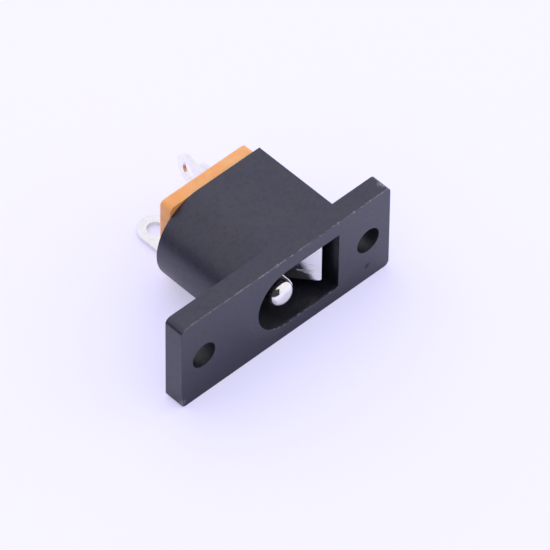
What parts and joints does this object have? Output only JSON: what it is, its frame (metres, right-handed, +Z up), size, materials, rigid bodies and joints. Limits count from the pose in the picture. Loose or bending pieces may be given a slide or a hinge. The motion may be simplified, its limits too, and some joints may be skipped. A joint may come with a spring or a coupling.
{
  "type": "dc barrel jack",
  "caption": "Panel-mounted DC barrel jack: black flanged D-shaped housing, orange rear insulator, solid centre pin, sleeve spring, switch contact and eyelet solder lugs.",
  "frame": {"origin": "plug axis where it meets the plane of the flange's front face, which is also the middle between the two screw holes", "axes": "+X along the flange towards the flat side of the socket, +Y back into the jack along the plug axis, +Z up from the long underside that it lies on"},
  "size_m": [0.0226, 0.0167, 0.009],
  "materials": {
    "black_moulding": "matte moulded",
    "orange_moulding": "smooth moulded",
    "plated_pin": "nickel plated, bright",
    "plated_strip": "tin plated, bright"
  },
  "bodies": {
    "root": {"housing": "black_moulding", "rear_insulator": "orange_moulding", "centre_pin": "plated_pin", "pin_terminal": "plated_strip", "sleeve_spring": "plated_strip", "switch_contact": "plated_strip"}
  },
  "joints": []
}
